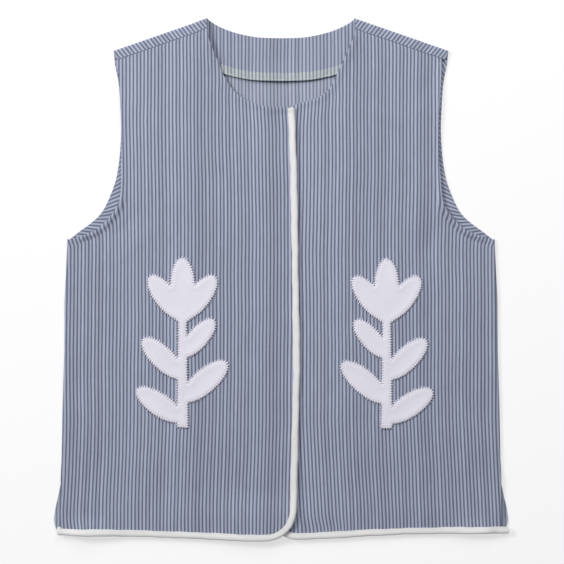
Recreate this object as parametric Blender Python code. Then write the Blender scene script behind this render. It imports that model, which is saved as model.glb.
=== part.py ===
"""A sleeveless striped waistcoat, laid flat on its back with its fronts closed.

Sizes are in millimetres and become metres as each mesh is made. X runs across the garment, to
the wearer's left, and Y runs from the hem to the neck. The table below the garment is Z = 0.
Every piece of cloth is worked out as a middle surface with a direction outwards, and becomes
a wall of one thickness round it. The back's cloth rolls over at the shoulders and at the side
seams, where the fronts roll down to meet it.
"""

import math

import bmesh
import bpy
import numpy as np
from mathutils import Vector
from mathutils.bvhtree import BVHTree
from mathutils.geometry import delaunay_2d_cdt

MM = 0.001

# The cloth and the layers
CLOTH = 1.0
GAP = 0.3
LAYER = CLOTH + GAP
EASE = 0.3
BACK_LEVEL = CLOTH / 2
FACING_LEVEL = BACK_LEVEL + LAYER
TAPE_LEVEL = BACK_LEVEL + 2 * LAYER
UNDER_LEVEL = BACK_LEVEL + 2 * LAYER
FRONT_LEVEL = BACK_LEVEL + 3 * LAYER
HEM_LEVEL = BACK_LEVEL + 4 * LAYER + EASE / 2
ROLL = (FRONT_LEVEL - BACK_LEVEL) / 2
ROLL_CENTRE = (FRONT_LEVEL + BACK_LEVEL) / 2
ROLL_OUT = ROLL + CLOTH / 2

# The garment's own sizes
NECK_POINT = (83.6, 580.0)
SHOULDER_TIP = (188.5, 543.6)
SHOULDER_BAND = 11.0
UNDERARM = 332.0
VENT = 58.0
VENT_EASE = 30.0
BINDING = 8.0
CORNER = 36.0
TAPE = 9.2
ARMHOLE_FACING = 15.0
FACING_AT_SHOULDER = 44.0
FACING_STOP = ROLL_OUT + 1.5
BACK_HEM = 2.5
SIGN = {"right": -1, "left": 1}

# Places along the shoulder line: corners of the back, its facing and band, and the fronts' tip
NECK_CORNER = -1.8
FACING_CORNER = -1.0
BAND_AT_NECK = 83.0
BAND_TRIM = 1.0
FRONT_TIP = {"right": 185.6, "left": 181.0}
# How far the armhole facings' lower ends keep inside the side fold and above the underarm
END_IN = 1.5
END_UP = 1.0
# The smallest distance between two points of a mesh, and the smallest share of a rolled side
SAME_POINT = 0.001
LEAST_ROLL = 0.001

# How the fronts rise over each other and over the back's hem
HEM_FLAT = 20.0
HEM_RISE = 40.0
UNDER_END = 22.0
UNDER_EASE = 45.0
OVER_START = -100.0
OVER_EASE = 78.0
BACK_RISE_FROM = 29.0
BACK_RISE_MIDDLE = 21.0
BACK_RISE_TO = 13.0

# Mesh steps
SIDE_HEIGHTS = (20, 29, 38, 48, 58, 66, 74, 82, 90, 108, 130, 152, 180, 208, 236, 264, 292, 312)
EDGE_HEIGHTS = (460, 435, 410, *range(380, 90, -30), 84, 72, 62, 53, 45, 38)
HEM_STATIONS = (-30, -42, -55, -70, -88, -108, -130, -160, -190, -220)
CORNER_PARTS = 9
ROLL_STEPS = 4
SHOULDER_PARTS = 10
SHOULDER_ROLL_STEPS = 6
SHOULDER_SEAM_PARTS = 6
BACK_HEM_PARTS = 14
BACK_SPACING = 36
FRONT_SPACING = 17
FINE_SPACING = 10
FINE_HALF_WIDTH = 48
FINE_HEIGHT = 78
GUARD_STEP = 5
CLEAR_OF_LINES = 0.55
CLEAR_OF_POINTS = 0.7
FIRST_COLUMN = 0.25

# Height above the hem, half width at the side seam
SIDE = (
    (0, 246.5),
    (62, 246.9),
    (96, 246.3),
    (152, 245.2),
    (208, 243.5),
    (264, 243.2),
    (320, 240.4),
    (332, 240.1),
)
# Height above the hem, half width of the back's free edge below the side seam
BACK_VENT = ((3.8, 252.0), (10, 254.0), (17.4, 255.3), (28.6, 254.1), (40, 251.3), (51, 249.2))
# Height above the hem, half width of the back at the armhole, and of the fronts
BACK_ARMHOLE = (
    (528, 186.6),
    (511, 183.1),
    (489, 181.2),
    (455, 179.8),
    (425, 181.6),
    (399, 185.8),
    (376.5, 194),
    (361, 202.5),
    (350, 214),
    (340.5, 227),
)
FRONT_ARMHOLE_FOOT = (
    (389, 179.8),
    (373, 182.2),
    (360, 189.6),
    (351, 197.5),
    (343, 206.5),
    (337.5, 219),
)
FRONT_ARMHOLE = {
    "right": ((511, 181.8), (480, 180.2), (444, 179), (413, 179.6)) + FRONT_ARMHOLE_FOOT,
    "left": ((511, 179.5), (480, 178.2), (444, 177), (413, 178.3)) + FRONT_ARMHOLE_FOOT,
}
# Half width, height above the hem, of the back's neckline from its middle to the shoulder
BACK_NECK = ((0, 558.2), (24.7, 559), (45.4, 562.7), (61.2, 567.6), (73, 573))
# Place across, height above the hem, of each front's neckline from its shoulder to its edge
FRONT_NECK = {
    "right": (
        (-82, 560),
        (-77.2, 547),
        (-71.4, 533),
        (-61.9, 511),
        (-50.5, 496.5),
        (-34.8, 486.4),
        (-16, 481.2),
    ),
    "left": (
        (81.6, 559),
        (76.8, 547.5),
        (72, 537),
        (67.2, 526.5),
        (61.6, 514.5),
        (55.4, 502.5),
        (46.5, 493.8),
        (35, 489),
        (24, 485.8),
        (12, 481.8),
        (0, 478.8),
    ),
}
NECK_AT_SEAM = {"right": 83.2, "left": 83.6}
NECK_AT_EDGE = {"right": 479.7, "left": 477.5}
# Height above the hem, reach of the bound front edge past the centre line
FRONT_EDGE = (
    (30, 17.7),
    (57, 18.4),
    (118, 19.8),
    (170, 21.0),
    (208, 21.5),
    (245, 20.6),
    (290, 19.9),
    (343, 19.2),
    (400, 18.4),
    (447, 16.7),
    (480, 15.5),
)
# Distance from the centre line, height of the bound hem's lower edge
HEM = {
    "right": (
        (0, -6.9),
        (21, -6.6),
        (49, -6.2),
        (90, -4.3),
        (136, -2.7),
        (180, -1.2),
        (220, -0.5),
        (250, -0.2),
    ),
    "left": ((0, -5.6), (20, -5.1), (49, -4.2), (90, -1.6), (133, 0.5), (180, 1.5), (218, 2), (250, 2)),
}
# Half width, height above the hem, of the neck facing's lower edge
FACING_EDGE = (
    (0, 509.4),
    (20, 510),
    (35, 511.1),
    (50, 513.9),
    (62, 517),
    (85, 526),
    (106, 541),
)
# Soft ridges: front, place across, height above the hem, lean, half length, half width, rise
RIDGES = (
    ("right", -208, 262, 0.14, 62, 24, 0.9),
    ("right", -217, 128, -0.04, 62, 22, 0.8),
    ("right", -62, 352, -0.09, 90, 32, 0.6),
    ("right", -140, 440, 0.26, 60, 28, 0.7),
    ("left", 150, 352, -0.35, 55, 25, 0.9),
    ("left", 206, 250, 0.14, 70, 24, 0.8),
    ("left", 92, 100, 0.07, 30, 30, 0.6),
    ("left", 92, 425, 0.35, 60, 25, 0.7),
    ("left", 212, 110, 0.05, 50, 24, 0.7),
)

# The sprigs: foot of the stem, and the leaves and petals on it
SPRIG_FOOT = {"right": (-110.5, 121.0), "left": (118.5, 120.0)}
STEM_HEIGHT = 132.0
STEM_FOOT_WIDTH = 12.0
STEM_TOP_WIDTH = 8.0
CUP_RADIUS = 14.0
# Height on the stem, lean to the side, length, width
LEAVES = (
    (8, 0.98, 62, 25),
    (30, -0.86, 66, 26),
    (56, 0.80, 62, 25),
    (80, -0.72, 54, 22),
)
PETALS = ((126, 0.0, 64, 27), (122, 0.66, 60, 25), (122, -0.66, 60, 25))
LENS_STEPS = 8
CUP_STEPS = 16
ABOVE_ALL = 100.0

# Distance in from a binding's fold, share of its half height there
BINDING_FOLD = ((1.1, 1.0), (0.35, 0.8), (0.0, 0.35))

COLOURS = {
    "striped_cloth": ((0.275, 0.30, 0.39, 1), 0.9),
    "cream_binding": ((0.83, 0.82, 0.80, 1), 0.8),
    "white_applique": ((0.78, 0.77, 0.84, 1), 0.85),
}


def blend(t):
    """A soft step that rises from 0 to 1 as t does."""
    t = max(0.0, min(1.0, t))
    return t * t * (3 - 2 * t)


def mix(a, b, share):
    return a + (b - a) * share


def look_up(rows, at):
    """The second column of a table at a value of its first, which rises."""
    return float(np.interp(at, [r[0] for r in rows], [r[1] for r in rows]))


def smooth_line(points, parts):
    """A smooth line through the points, with a number of parts between each two."""
    points = [Vector(p) for p in points]
    ends = [2 * points[0] - points[1]] + points + [2 * points[-1] - points[-2]]
    line = [points[0]]
    for a, b, c, d in zip(ends, ends[1:], ends[2:], ends[3:]):
        for i in range(1, parts + 1):
            t = i / parts
            line.append(
                0.5 * (2 * b + (c - a) * t + (2 * a - 5 * b + 4 * c - d) * t**2)
                + 0.5 * (3 * b - a - 3 * c + d) * t**3
            )
    return line


def left_of(line):
    """The unit direction to the left of a line's travel, at each of its points."""
    sides = []
    for i in range(len(line)):
        along = line[min(i + 1, len(line) - 1)] - line[max(i - 1, 0)]
        sides.append(Vector((-along.y, along.x)).normalized())
    return sides


def shifted(line, distance):
    """The line moved to its left."""
    return [p + side * distance for p, side in zip(line, left_of(line))]


# The shoulder line: its direction from the neck, and the direction over it
NECK = Vector(NECK_POINT)
SHOULDER_LENGTH = (Vector(SHOULDER_TIP) - NECK).length
ALONG = (Vector(SHOULDER_TIP) - NECK).normalized()
OVER = Vector((-ALONG.y, ALONG.x))


def below_shoulder(along, distance):
    """A place in plan at a distance inside the shoulder's outline, on the +X side."""
    return NECK + ALONG * along - OVER * distance


def along_shoulder(x, distance):
    """How far along the shoulder line a place with this X lies, at that distance inside."""
    return (x - NECK.x + OVER.x * distance) / ALONG.x


def side_line(y):
    return look_up(SIDE, y) - ROLL_OUT


def hem_line(front, x):
    """Height of the bound hem's lower edge: the fronts drop a little towards the centre."""
    return look_up(HEM[front], abs(x))


def ridge_height(front, x, y):
    rise = 0.0
    for name, cx, cy, lean, half_length, half_width, height in RIDGES:
        if name != front:
            continue
        across = (x - cx) * math.cos(lean) + (y - cy) * math.sin(lean)
        along = (y - cy) * math.cos(lean) - (x - cx) * math.sin(lean)
        if abs(across) < half_width and abs(along) < half_length:
            bell = math.cos(math.pi / 2 * across / half_width) ** 2
            rise += height * bell * math.cos(math.pi / 2 * along / half_length) ** 2
    return rise


def left_height(x, y):
    """Height of the left front's middle: low under the overlap, raised over the back's hem."""
    near_hem = 1 - blend((y - hem_line("left", x) - HEM_FLAT) / HEM_RISE)
    under = 1 - blend((x - UNDER_END) / UNDER_EASE)
    plain = mix(FRONT_LEVEL, UNDER_LEVEL, under)
    return mix(plain, HEM_LEVEL, near_hem) + ridge_height("left", x, y)


def right_height(x, y):
    """Height of the right front's middle, which passes over the left front's bound edge."""
    near_hem = 1 - blend((y - hem_line("right", x) - HEM_FLAT) / HEM_RISE)
    over = blend((x - OVER_START) / OVER_EASE)
    beside = mix(FRONT_LEVEL, HEM_LEVEL, near_hem)
    on_top = left_height(min(x, UNDER_END), y) + LAYER * (2 + near_hem) + EASE
    return mix(beside, on_top, over) + ridge_height("right", x, y)


HEIGHT = {"right": right_height, "left": left_height}


def back_height(y):
    """The back lies on the table, and rises by a layer over its own binding at the hem."""
    return BACK_LEVEL + LAYER * blend((BACK_RISE_FROM - y) / (BACK_RISE_FROM - BACK_RISE_TO))


class Cloth:
    """A middle surface: points, the direction outwards at each, and faces."""

    def __init__(self):
        self.points = []
        self.out = []
        self.faces = []

    def add(self, point, out):
        self.points.append(Vector(point))
        self.out.append(Vector(out).normalized())
        return len(self.points) - 1

    def net(self, outline, lines, field, place):
        """Fills an outline in plan with triangles over given lines and loose points.

        place gives a plan point's own point and outward direction. Returns the numbers of
        the outline's points.
        """
        corners = [Vector(p) for p in outline]
        edges = [(i, (i + 1) % len(outline)) for i in range(len(outline))]
        for line in lines:
            start = len(corners)
            corners += [Vector(p) for p in line]
            edges += [(i, i + 1) for i in range(start, start + len(line) - 1)]
        corners += [Vector(p) for p in field]
        flat = delaunay_2d_cdt(corners, edges, [list(range(len(outline)))], 1, SAME_POINT)
        points, triangles, sources = flat[0], flat[2], flat[3]
        numbers = [self.add(*place(p.x, p.y)) for p in points]
        self.faces += [[numbers[i] for i in t] for t in triangles]
        found = {source: i for i, group in enumerate(sources) for source in group}
        return [numbers[found[i]] for i in range(len(outline))]

    def strip(self, first, rows):
        """Continues the surface from its points numbered in first, with rows of new ones."""
        before = first
        for row in rows:
            now = [self.add(point, out) for point, out in row]
            for i in range(len(now) - 1):
                self.faces.append([before[i], before[i + 1], now[i + 1], now[i]])
            before = now

    def solid(self, name, slot, thickness=CLOTH):
        """The wall round the middle surface, as an object."""
        mesh = bmesh.new()
        sheets = []
        for side in (0.5, -0.5):
            sheets.append(
                [
                    mesh.verts.new((p + n * thickness * side) * MM)
                    for p, n in zip(self.points, self.out)
                ]
            )
        uses = {}
        for face in self.faces:
            mesh.faces.new([sheets[0][i] for i in face])
            mesh.faces.new([sheets[1][i] for i in reversed(face)])
            for a, b in zip(face, face[1:] + face[:1]):
                uses.setdefault(frozenset((a, b)), []).append((a, b))
        for ways in uses.values():
            if len(ways) == 1:
                a, b = ways[0]
                mesh.faces.new([sheets[0][b], sheets[0][a], sheets[1][a], sheets[1][b]])
        loose = [v for v in mesh.verts if not v.link_faces]
        bmesh.ops.delete(mesh, geom=loose, context="VERTS")
        return finish(mesh, name, slot)


def finish(mesh, name, slot):
    """Makes a bmesh into an object in its own material, with smooth shading."""
    bmesh.ops.recalc_face_normals(mesh, faces=mesh.faces)
    data = bpy.data.meshes.new(name)
    mesh.to_mesh(data)
    mesh.free()
    data.shade_smooth()
    data.set_sharp_from_angle(angle=math.radians(40))
    material = bpy.data.materials.new(name)
    material.use_nodes = True
    shader = material.node_tree.nodes["Principled BSDF"]
    colour, roughness = COLOURS[slot]
    shader.inputs["Base Color"].default_value = colour
    shader.inputs["Roughness"].default_value = roughness
    data.materials.append(material)
    item = bpy.data.objects.new(name, data)
    bpy.context.scene.collection.objects.link(item)
    return item


def inside(point, outline):
    """Whether a plan point is inside an outline."""
    odd = False
    for a, b in zip(outline, outline[1:] + outline[:1]):
        if (a.y > point.y) != (b.y > point.y):
            if point.x < a.x + (point.y - a.y) / (b.y - a.y) * (b.x - a.x):
                odd = not odd
    return odd


def far_from(point, line, distance):
    return all((point - p).length > distance for p in line)


def spaced(line, step):
    """Points about a step apart along a line, for keeping others away from it."""
    points = []
    for a, b in zip(line, line[1:]):
        count = max(1, math.ceil((b - a).length / step))
        points += [a.lerp(b, i / count) for i in range(count)]
    return points + [line[-1]]


def field(outline, lines, spacing):
    """Staggered points inside an outline. spacing gives the distance wanted at a place."""
    guard = spaced(outline + outline[:1], GUARD_STEP)
    for line in lines:
        guard += spaced(line, GUARD_STEP)
    low = Vector((min(p.x for p in outline), min(p.y for p in outline)))
    high = Vector((max(p.x for p in outline), max(p.y for p in outline)))
    chosen = []
    for step in sorted({spacing(low.x, low.y), spacing(0, 0), spacing(high.x, high.y)}):
        for row in range(int((high.y - low.y) / step) + 1):
            for column in range(int((high.x - low.x) / step) + 1):
                point = low + Vector((column + FIRST_COLUMN + row % 2 / 2, row + 0.5)) * step
                if spacing(point.x, point.y) != step or not inside(point, outline):
                    continue
                if not far_from(point, guard, CLEAR_OF_LINES * step):
                    continue
                if far_from(point, chosen, CLEAR_OF_POINTS * step):
                    chosen.append(point)
    return chosen


def roll_share(y):
    """How far the side seam is closed: fully above the vent, and not at all in it."""
    return blend((y - VENT) / VENT_EASE)


SIDE_ROLL = ROLL * math.pi / 2 - GAP / 2


def side_roll(sign, y, reach, level, turn):
    """A point of the cloth past the side's flat part. turn is 1 upwards, or -1 downwards."""
    share = roll_share(y)
    angle = share * reach / ROLL
    across = reach
    lift = 0.0
    if share > LEAST_ROLL:
        across = ROLL / share * math.sin(angle)
        lift = ROLL / share * (1 - math.cos(angle))
    point = (sign * (side_line(y) + across), y, level + turn * lift)
    return point, (sign * math.sin(angle), 0, -turn * math.cos(angle))


def bound_edge(front):
    """The outer edge of a front's binding, from the neck down, round the corner, to the side."""
    sign = SIGN[front]
    edge_x = FRONT_EDGE[0][1]
    turn = Vector((edge_x - CORNER, hem_line(front, edge_x - CORNER) + CORNER))
    line = [Vector((look_up(FRONT_EDGE, y), y)) for y in (NECK_AT_EDGE[front],) + EDGE_HEIGHTS]
    for i in range(CORNER_PARTS + 1):
        angle = -math.pi / 2 * i / CORNER_PARTS
        line.append(turn + CORNER * Vector((math.cos(angle), math.sin(angle))))
    for x in HEM_STATIONS + (-side_line(BINDING),):
        line.append(Vector((x, hem_line(front, x))))
    return [Vector((-sign * p.x, p.y)) for p in line]


def edge_rows(front, distance):
    """The bound edge moved into the front by a distance."""
    return shifted(bound_edge(front), SIGN[front] * distance)


def front_outline(front):
    """The plan outline of a front's flat part, and how many points each stretch of it has."""
    sign = SIGN[front]
    bound = edge_rows(front, LAYER)
    side = [Vector((sign * side_line(y), y)) for y in (BINDING,) + SIDE_HEIGHTS]
    armhole = [(side_line(UNDERARM), UNDERARM)]
    armhole += [(x, y) for y, x in reversed(FRONT_ARMHOLE[front])]
    seam = SHOULDER_BAND + GAP
    tip = along_shoulder(FRONT_TIP[front], seam)
    armhole.append(below_shoulder(tip, seam))
    armhole = [Vector((sign * p.x, p.y)) for p in smooth_line(armhole, 2)]
    neck = along_shoulder(NECK_AT_SEAM[front], seam)
    shoulder = []
    for i in range(1, SHOULDER_SEAM_PARTS):
        p = below_shoulder(mix(tip, neck, i / SHOULDER_SEAM_PARTS), seam)
        shoulder.append(Vector((sign * p.x, p.y)))
    start = below_shoulder(neck, seam)
    neckline = [(sign * start.x, start.y)] + list(FRONT_NECK[front]) + [bound[0]]
    neckline = smooth_line(neckline, 2)[:-1]
    return bound + side + armhole + shoulder + neckline, len(bound), len(side)


def front_spacing(x, y):
    return FINE_SPACING if abs(x) < FINE_HALF_WIDTH and y < FINE_HEIGHT else FRONT_SPACING


def make_front(front):
    sign = SIGN[front]
    height = HEIGHT[front]

    def place(x, y):
        return (x, y, height(x, y)), (0, 0, 1)

    outline, bound_count, side_count = front_outline(front)
    lines = [edge_rows(front, BINDING)[1:-1]]
    cloth = Cloth()
    numbers = cloth.net(outline, lines, field(outline, lines, front_spacing), place)
    first = numbers[bound_count - 1 : bound_count + side_count + 1]
    heights = [outline[i].y for i in range(bound_count - 1, bound_count + side_count + 1)]
    rows = []
    for i in range(1, ROLL_STEPS + 1):
        reach = SIDE_ROLL * i / ROLL_STEPS
        rows.append(
            [
                side_roll(sign, y, reach, height(sign * side_line(y), y), -1)
                for y in heights
            ]
        )
    cloth.strip(first, rows)
    return cloth.solid("front_" + front, "striped_cloth")


def back_reach(y):
    """How far the back's cloth goes past its flat part at the side."""
    if y >= VENT:
        return SIDE_ROLL
    free = look_up(BACK_VENT + ((VENT, side_line(VENT) + SIDE_ROLL),), y)
    return free - side_line(y)


def back_armhole():
    """The back's armhole on the +X side, from the shoulder's flat part to the side's."""
    top = below_shoulder(SHOULDER_LENGTH, ROLL_OUT)
    rows = [(x, y) for y, x in BACK_ARMHOLE]
    return smooth_line([top] + rows + [(side_line(UNDERARM), UNDERARM)], 2)


def back_neckline():
    """The back's neckline on the +X side, from its middle to the shoulder's flat part."""
    return smooth_line(BACK_NECK + (below_shoulder(NECK_CORNER, ROLL_OUT),), 2)


def shoulder_row(sign, reach, share):
    """A row of the back's cloth over the shoulder, at a reach past its flat part."""
    angle = min(reach / ROLL, math.pi)
    beyond = max(0.0, reach - ROLL * math.pi)
    across = ROLL * math.sin(angle) - beyond
    level = ROLL_CENTRE - ROLL * math.cos(angle)
    neck = mix(NECK_CORNER, along_shoulder(BAND_AT_NECK, SHOULDER_BAND), share)
    tip = mix(SHOULDER_LENGTH, SHOULDER_LENGTH - BAND_TRIM, share)
    row = []
    for i in range(SHOULDER_PARTS + 1):
        p = below_shoulder(mix(tip, neck, i / SHOULDER_PARTS), ROLL_OUT - across)
        out = (sign * OVER.x * math.sin(angle), OVER.y * math.sin(angle), -math.cos(angle))
        row.append(((sign * p.x, p.y, level), out))
    return row


def even_stations(edge):
    """Evenly spaced places along the back's hem, from one edge to the other."""
    return [mix(-edge, edge, i / BACK_HEM_PARTS) for i in range(BACK_HEM_PARTS + 1)]


def make_back():
    def place(x, y):
        return (x, y, back_height(y)), (0, 0, -1)

    hem_y = BACK_HEM + LAYER
    side = [Vector((side_line(y), y)) for y in (hem_y, BACK_HEM + BINDING) + SIDE_HEIGHTS]
    armhole = list(reversed(back_armhole()))
    shoulder = [
        below_shoulder(mix(SHOULDER_LENGTH, NECK_CORNER, i / SHOULDER_PARTS), ROLL_OUT)
        for i in range(1, SHOULDER_PARTS)
    ]
    neck = list(reversed(back_neckline()))
    half = side + armhole + shoulder + neck
    other = [Vector((-p.x, p.y)) for p in reversed(half[:-1])]
    edge = side_line(hem_y)
    stations = even_stations(edge)[1:-1]
    hem = [Vector((x, hem_y)) for x in stations]
    outline = half + other + hem
    lines = [
        [Vector((x, y)) for x in stations]
        for y in (BACK_HEM + BINDING, BACK_RISE_TO, BACK_RISE_MIDDLE, BACK_RISE_FROM)
    ]
    cloth = Cloth()
    loose = field(outline, lines, lambda x, y: BACK_SPACING)
    numbers = cloth.net(outline, lines, loose, place)
    side_count = len(side) + 1
    for sign in (1, -1):
        run = numbers[:side_count]
        places = outline[:side_count]
        if sign < 0:
            last = len(half) + len(other)
            run = numbers[last - side_count : last][::-1]
            places = outline[last - side_count : last][::-1]
        rows = []
        for i in range(1, ROLL_STEPS + 1):
            rows.append(
                [
                    side_roll(sign, p.y, back_reach(p.y) * i / ROLL_STEPS, back_height(p.y), 1)
                    for p in places
                ]
            )
        cloth.strip(run, rows)
        start = len(side) + len(armhole) - 1
        run = numbers[start : start + SHOULDER_PARTS + 1]
        if sign < 0:
            start = 2 * len(half) - 2 - start
            run = numbers[start - SHOULDER_PARTS : start + 1][::-1]
        total = ROLL * math.pi + SHOULDER_BAND - ROLL_OUT
        part = ROLL * math.pi / SHOULDER_ROLL_STEPS
        reaches = [part * i for i in range(1, SHOULDER_ROLL_STEPS + 1)] + [total]
        cloth.strip(run, [shoulder_row(sign, reach, reach / total) for reach in reaches])
    return cloth.solid("back", "striped_cloth")


def make_flat_strip(name, slot, level, one_side, other_side):
    """A level band of cloth between two lines with as many points each."""
    cloth = Cloth()
    first = [cloth.add((p.x, p.y, level), (0, 0, 1)) for p in one_side]
    cloth.strip(first, [[((p.x, p.y, level), (0, 0, 1)) for p in other_side]])
    return cloth.solid(name, slot)


def both_halves(half):
    """A line from the middle to the +X side, made whole."""
    return [Vector((-p.x, p.y)) for p in reversed(half[1:])] + list(half)


def facing_lines():
    """The neck facing's upper and lower edges."""
    upper = smooth_line(BACK_NECK + (below_shoulder(FACING_CORNER, FACING_STOP),), 3)
    lower_end = below_shoulder(FACING_AT_SHOULDER, FACING_STOP)
    lower = smooth_line(FACING_EDGE + (lower_end,), 2)
    count = len(lower) - 1
    upper_even = []
    for i in range(count + 1):
        at = i / count * (len(upper) - 1)
        start = min(int(at), len(upper) - 2)
        upper_even.append(upper[start].lerp(upper[start + 1], at - start))
    upper_even = [p - Vector((0, GAP)) for p in upper_even]
    return both_halves(upper_even), both_halves(lower)


def make_neck_facing():
    upper, lower = facing_lines()
    return make_flat_strip("neck_facing", "striped_cloth", FACING_LEVEL, upper, lower)


def make_neck_tape():
    """The tape along the facing's lower edge, cut off level with the facing's ends."""
    lower = facing_lines()[1]
    upper = shifted(lower, TAPE)
    end = below_shoulder(FACING_AT_SHOULDER - TAPE, FACING_STOP)
    upper[0] = Vector((-end.x, end.y))
    upper[-1] = end
    return make_flat_strip("neck_tape", "cream_binding", TAPE_LEVEL, upper, lower)


def make_armhole_facing(side):
    sign = SIGN[side]
    top = below_shoulder(SHOULDER_LENGTH, FACING_STOP)
    rows = [(x, y) for y, x in BACK_ARMHOLE]
    line = smooth_line([top] + rows + [(side_line(UNDERARM) - END_IN, UNDERARM + END_UP)], 2)
    edges = [shifted(line, -distance) for distance in (GAP, ARMHOLE_FACING)]
    outer, inner = [[Vector((sign * p.x, p.y)) for p in edge] for edge in edges]
    return make_flat_strip(
        "armhole_facing_" + side, "striped_cloth", FACING_LEVEL, outer, inner
    )


def channel_section():
    """The binding's section: distance in from its outer edge, height from the cloth's middle."""
    inner = CLOTH / 2 + GAP
    outer = inner + CLOTH
    half = [(BINDING, inner), (BINDING, outer)]
    half += [(inward, outer * share) for inward, share in BINDING_FOLD]
    below = [(w, -z) for w, z in reversed(half)]
    return half + below + [(CLOTH, -inner), (CLOTH, inner)]


def make_binding(name, line, side, height):
    """A folded binding swept along its outer edge. side is 1 where the cloth is to its left."""
    ways = left_of(line)
    mesh = bmesh.new()
    rings = []
    for point, way in zip(line, ways):
        ring = []
        for inward, rise in channel_section():
            p = point + way * side * inward
            at = point + way * side * max(inward, LAYER)
            ring.append(mesh.verts.new(Vector((p.x, p.y, height(at.x, at.y) + rise)) * MM))
        rings.append(ring)
    count = len(rings[0])
    for before, after in zip(rings, rings[1:]):
        for i in range(count):
            j = (i + 1) % count
            mesh.faces.new((before[i], before[j], after[j], after[i]))
    mesh.faces.new(rings[0])
    mesh.faces.new(rings[-1])
    return finish(mesh, name, "cream_binding")


def make_front_binding(front):
    sign = SIGN[front]
    line = bound_edge(front)
    end = Vector((sign * (side_line(BINDING) + SIDE_ROLL), line[-1].y))
    return make_binding("binding_front_" + front, line + [end], sign, HEIGHT[front])


def make_back_binding():
    edge = side_line(BACK_HEM + LAYER)
    end = edge + back_reach(BACK_HEM + LAYER)
    line = [Vector((x, BACK_HEM)) for x in [-end] + even_stations(edge) + [end]]
    return make_binding("binding_back", line, 1, lambda x, y: back_height(y))


def lens(foot, lean, length, width):
    """A leaf or petal: two arcs between its foot and its tip, as a closed outline."""
    way = Vector((math.sin(lean), math.cos(lean)))
    side = Vector((way.y, -way.x))
    outline = []
    for i in range(2 * LENS_STEPS):
        angle = math.pi * i / LENS_STEPS
        along = length * (1 - math.cos(angle)) / 2
        outline.append(foot + way * along + side * width / 2 * math.sin(angle))
    return outline


def sprig_shapes(front):
    """The outlines that make up a sprig, which overlap. The two sprigs mirror each other."""
    foot = Vector(SPRIG_FOOT[front])
    sign = SIGN[front]
    low = STEM_FOOT_WIDTH / 2
    high = STEM_TOP_WIDTH / 2
    stem = [(-low, 0), (low, 0), (high, STEM_HEIGHT), (-high, STEM_HEIGHT)]
    shapes = [[Vector(p) for p in stem]]
    for height, lean, length, width in LEAVES + PETALS:
        shapes.append(lens(Vector((0, height)), lean, length, width))
    cup = Vector((0, STEM_HEIGHT))
    circle = [2 * math.pi * i / CUP_STEPS for i in range(CUP_STEPS)]
    shapes.append([cup + CUP_RADIUS * Vector((math.cos(a), math.sin(a))) for a in circle])
    return [[foot + Vector((sign * p.x, p.y)) for p in shape] for shape in shapes]


def make_sprig(front, panel):
    """The sprig's cloth, which follows the upper faces of its front a gap above them."""
    tree = BVHTree.FromPolygons(
        [v.co / MM for v in panel.data.vertices], [p.vertices[:] for p in panel.data.polygons]
    )
    corners = []
    faces = []
    for shape in sprig_shapes(front):
        faces.append(list(range(len(corners), len(corners) + len(shape))))
        corners += shape
    flat = delaunay_2d_cdt(corners, [], faces, 1, SAME_POINT)
    points, triangles = flat[0], flat[2]
    cloth = Cloth()
    for p in points:
        hit = tree.ray_cast(Vector((p.x, p.y, ABOVE_ALL)), Vector((0, 0, -1)))[0]
        cloth.add((p.x, p.y, hit.z + GAP + CLOTH / 2), (0, 0, 1))
    cloth.faces = [list(t) for t in triangles]
    return cloth.solid("applique_" + front, "white_applique")


def set_origin():
    """Moves everything so that the origin is the middle of the footprint."""
    meshes = [item.data for item in bpy.data.objects]
    corners = [v.co for mesh in meshes for v in mesh.vertices]
    middle = [(min(c[i] for c in corners) + max(c[i] for c in corners)) / 2 for i in (0, 1)]
    for mesh in meshes:
        for vertex in mesh.vertices:
            vertex.co -= Vector((middle[0], middle[1], 0))


for item in list(bpy.data.objects):
    bpy.data.objects.remove(item)

make_back()
make_neck_facing()
make_neck_tape()
for wearer_side in ("right", "left"):
    make_armhole_facing(wearer_side)
    front_panel = make_front(wearer_side)
    make_front_binding(wearer_side)
    make_sprig(wearer_side, front_panel)
make_back_binding()
set_origin()
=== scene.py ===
"""The looks of a sleeveless striped waistcoat, laid flat on its back with its fronts closed.

Sizes are in millimetres and become metres as each mesh is made. X runs across the garment, to
the wearer's left. Heights above the hem are along Y, and the surface that it lies on is Z = 0.
Each piece of cloth is a middle surface with a direction outwards, made into a closed wall.
"""

import math

import bmesh
import bpy
import numpy as np
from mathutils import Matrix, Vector
from mathutils.geometry import delaunay_2d_cdt


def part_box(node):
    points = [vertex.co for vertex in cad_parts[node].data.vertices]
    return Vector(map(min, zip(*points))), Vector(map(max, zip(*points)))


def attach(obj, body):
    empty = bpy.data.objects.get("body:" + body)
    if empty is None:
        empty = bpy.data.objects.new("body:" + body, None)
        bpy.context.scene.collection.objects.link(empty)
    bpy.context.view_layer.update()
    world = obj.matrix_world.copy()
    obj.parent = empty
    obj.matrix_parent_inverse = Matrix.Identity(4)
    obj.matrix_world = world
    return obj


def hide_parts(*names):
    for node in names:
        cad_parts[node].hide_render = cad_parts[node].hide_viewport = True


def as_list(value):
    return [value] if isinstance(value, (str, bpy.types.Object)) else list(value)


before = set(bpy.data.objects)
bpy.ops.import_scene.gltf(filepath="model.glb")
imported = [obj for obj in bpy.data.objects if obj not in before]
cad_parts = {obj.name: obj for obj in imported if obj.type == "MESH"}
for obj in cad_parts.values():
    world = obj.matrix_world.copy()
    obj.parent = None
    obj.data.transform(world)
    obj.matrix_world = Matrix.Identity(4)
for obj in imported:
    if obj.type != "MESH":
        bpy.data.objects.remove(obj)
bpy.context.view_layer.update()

MM = 0.001

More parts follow.
